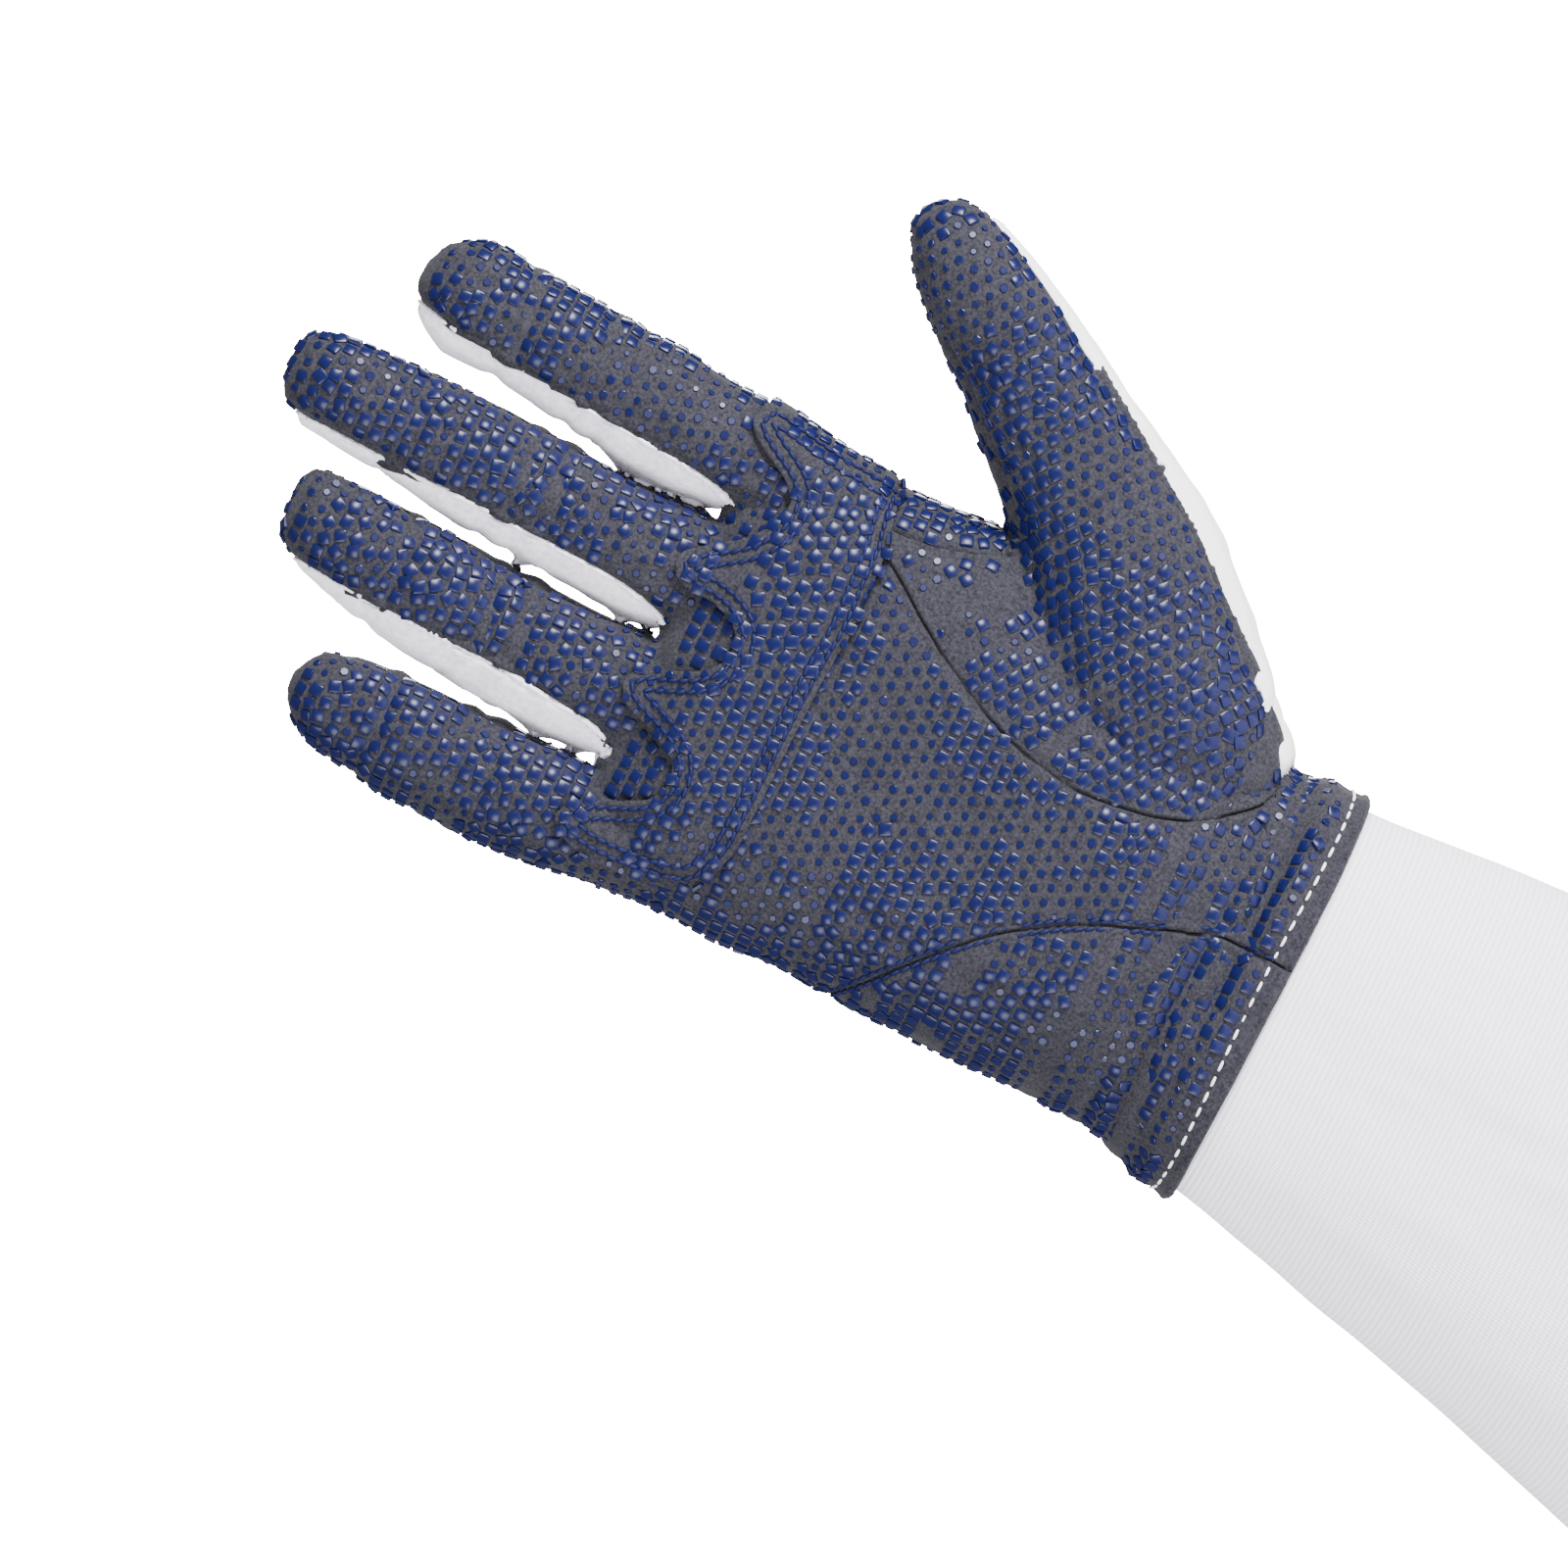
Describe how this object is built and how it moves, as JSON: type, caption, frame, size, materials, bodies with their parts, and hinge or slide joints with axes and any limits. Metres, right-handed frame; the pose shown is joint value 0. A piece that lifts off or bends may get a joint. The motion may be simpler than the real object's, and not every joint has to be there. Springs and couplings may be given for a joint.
{
  "type": "fencing glove",
  "caption": "Right-hand fencing glove: grey grip leather palm, raised patch at the finger roots, white fabric back, knit finger strips and a long ribbed cuff open at the end.",
  "frame": {"origin": "middle of the cuff's open end, in the plane of its rim", "axes": "+Z from the cuff's open end towards the fingertips, +X towards the thumb, the palm faces -Y"},
  "size_m": [0.1855, 0.0872, 0.356],
  "materials": {
    "grey_leather": "suede-like with raised blue rubber grip dots",
    "white_fabric": "smooth matt",
    "white_knit": "fine ribbed knit",
    "cuff_knit": "ribbed knit"
  },
  "bodies": {
    "root": {"palm_panel": "grey_leather", "thumb_panel": "grey_leather", "thumb_web_gusset": "grey_leather", "heel_panel": "grey_leather", "finger_base_patch": "grey_leather", "wrist_band": "grey_leather", "back_panel": "white_fabric", "thumb_back": "white_fabric", "fourchette_little_ring": "white_knit", "fourchette_ring_middle": "white_knit", "fourchette_middle_index": "white_knit", "cuff": "cuff_knit"}
  },
  "joints": []
}
